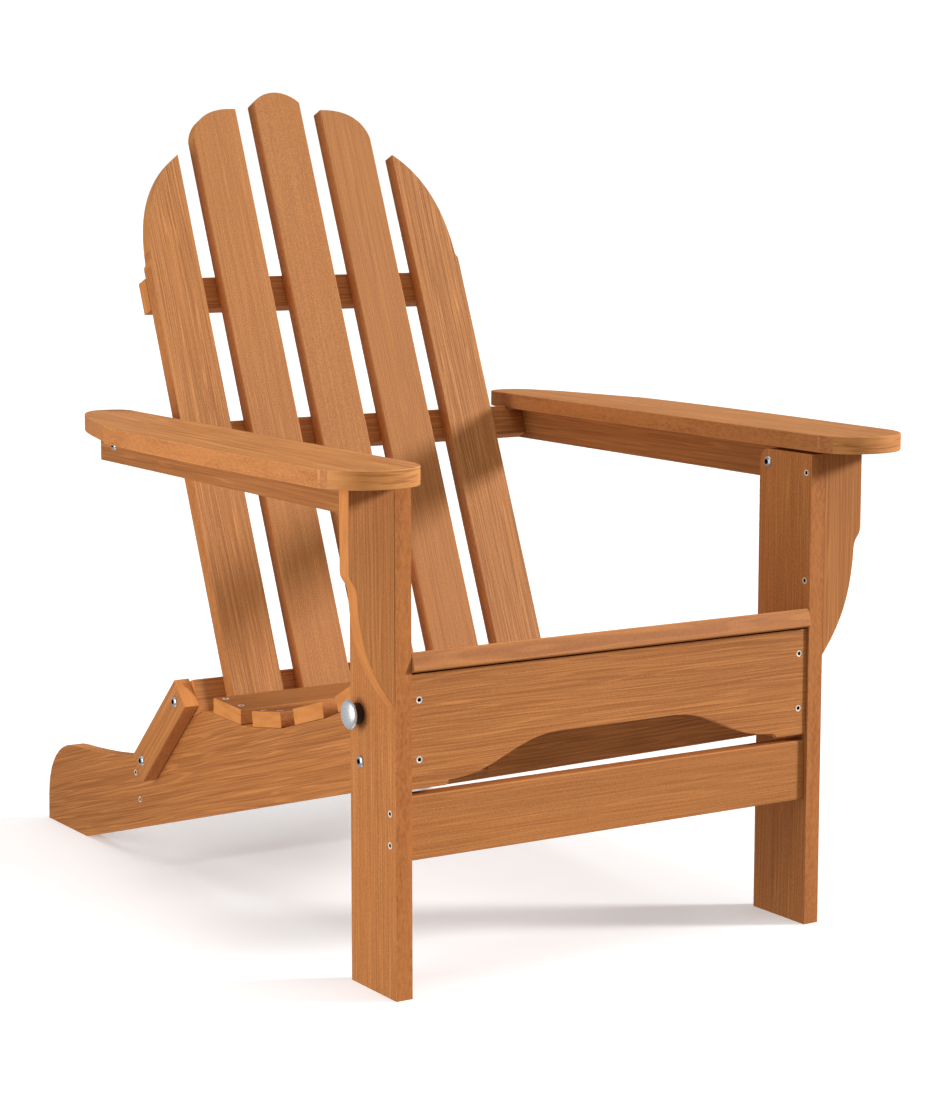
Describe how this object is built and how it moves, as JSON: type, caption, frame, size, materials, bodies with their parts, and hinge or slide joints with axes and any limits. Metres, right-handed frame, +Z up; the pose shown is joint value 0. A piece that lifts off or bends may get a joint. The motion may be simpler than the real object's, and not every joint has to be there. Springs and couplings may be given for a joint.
{
  "type": "adirondack chair",
  "caption": "Folding slatted garden armchair with a reclined arched back, wide arms, shaped side rails and legs locked by pull-out pins.",
  "frame": {"origin": "on the ground, under the middle of the chair's outline seen from above", "axes": "+Z up, -Y is the front that the sitter faces, +X is the sitter's left"},
  "size_m": [0.7422, 0.9686, 0.9278],
  "materials": {
    "lumber": "golden-teak boards with a fine combed grain along each board, satin",
    "steel_fasteners": "plain stainless screws and domed socket bolts",
    "knob_metal": "turned, lightly brushed",
    "knob_sleeve": "black, matt"
  },
  "bodies": {
    "seat_frame": {"stringer_right": "lumber", "stringer_left": "lumber", "apron": "lumber", "rear_rail": "lumber", "seat_slat_1": "lumber", "seat_slat_2": "lumber", "seat_slat_3": "lumber", "seat_slat_4": "lumber", "seat_slat_front": "lumber", "apron_screw_right_1": "steel_fasteners", "apron_screw_right_2": "steel_fasteners", "apron_screw_left_1": "steel_fasteners", "apron_screw_left_2": "steel_fasteners", "rear_rail_screw_right_1": "steel_fasteners", "rear_rail_screw_right_2": "steel_fasteners", "rear_rail_screw_left_1": "steel_fasteners", "rear_rail_screw_left_2": "steel_fasteners", "leg_bolt_right": "steel_fasteners", "leg_bolt_left": "steel_fasteners", "strut_bolt_low_right": "steel_fasteners", "strut_bolt_low_left": "steel_fasteners"},
    "leg_frame": {"leg_right": "lumber", "leg_left": "lumber", "bracket_right": "lumber", "bracket_left": "lumber", "lower_rail": "lumber", "leg_screw_right_1": "steel_fasteners", "leg_screw_right_2": "steel_fasteners", "leg_screw_left_1": "steel_fasteners", "leg_screw_left_2": "steel_fasteners", "bracket_screw_right_1": "steel_fasteners", "bracket_screw_right_2": "steel_fasteners", "bracket_screw_left_1": "steel_fasteners", "bracket_screw_left_2": "steel_fasteners", "arm_bolt_front_right": "steel_fasteners", "arm_bolt_front_left": "steel_fasteners"},
    "right_strut": {"strut_right": "lumber"},
    "left_strut": {"strut_left": "lumber"},
    "back": {"back_slat_1": "lumber", "back_slat_2": "lumber", "back_slat_3": "lumber", "back_slat_4": "lumber", "back_slat_5": "lumber", "back_rail_low": "lumber", "back_rail_arm_height": "lumber", "back_rail_top": "lumber", "strut_bolt_top_right": "steel_fasteners", "strut_bolt_top_left": "steel_fasteners", "arm_bolt_rear_right": "steel_fasteners", "arm_bolt_rear_left": "steel_fasteners"},
    "right_arm": {"arm_right": "lumber", "arm_rail_right": "lumber"},
    "left_arm": {"arm_left": "lumber", "arm_rail_left": "lumber"},
    "right_lock": {"lock_knob_right": "knob_metal", "lock_sleeve_right": "knob_sleeve"},
    "left_lock": {"lock_knob_left": "knob_metal", "lock_sleeve_left": "knob_sleeve"}
  },
  "joints": [
    {"name": "leg_fold", "type": "hinge", "parent": "seat_frame", "child": "leg_frame", "pos_m": [0, -0.3604, 0.2354], "axis": [1, 0, 0], "range_deg": [0, 75]},
    {"name": "right_strut_swing", "type": "hinge", "parent": "seat_frame", "child": "right_strut", "pos_m": [-0.2638, 0.1596, 0.1385], "axis": [1, 0, 0], "range_deg": [-67.1, 0]},
    {"name": "left_strut_swing", "type": "hinge", "parent": "seat_frame", "child": "left_strut", "pos_m": [0.2638, 0.1596, 0.1385], "axis": [1, 0, 0], "range_deg": [-67.1, 0]},
    {"name": "back_fold", "type": "hinge", "parent": "right_strut", "child": "back", "pos_m": [0, 0.06862, 0.22493], "axis": [1, 0, 0], "range_deg": [0, 162]},
    {"name": "right_arm_swing", "type": "hinge", "parent": "back", "child": "right_arm", "pos_m": [-0.2831, 0.1786, 0.51385], "axis": [1, 0, 0], "range_deg": [-92.3, 0]},
    {"name": "left_arm_swing", "type": "hinge", "parent": "back", "child": "left_arm", "pos_m": [0.2831, 0.1786, 0.51385], "axis": [1, 0, 0], "range_deg": [-92.3, 0]},
    {"name": "right_pin_pull", "type": "slide", "parent": "leg_frame", "child": "right_lock", "axis": [-1, 0, 0], "range_m": [0, 0.04]},
    {"name": "left_pin_pull", "type": "slide", "parent": "leg_frame", "child": "left_lock", "axis": [1, 0, 0], "range_m": [0, 0.04]}
  ],
  "couplings": [
    {"joint": "leg_fold", "follows": "right_strut_swing", "ratio": -1.1177},
    {"joint": "left_strut_swing", "follows": "right_strut_swing", "ratio": 1},
    {"joint": "back_fold", "follows": "right_strut_swing", "ratio": -2.4143},
    {"joint": "right_arm_swing", "follows": "right_strut_swing", "ratio": 1.3755},
    {"joint": "left_arm_swing", "follows": "right_strut_swing", "ratio": 1.3755}
  ]
}
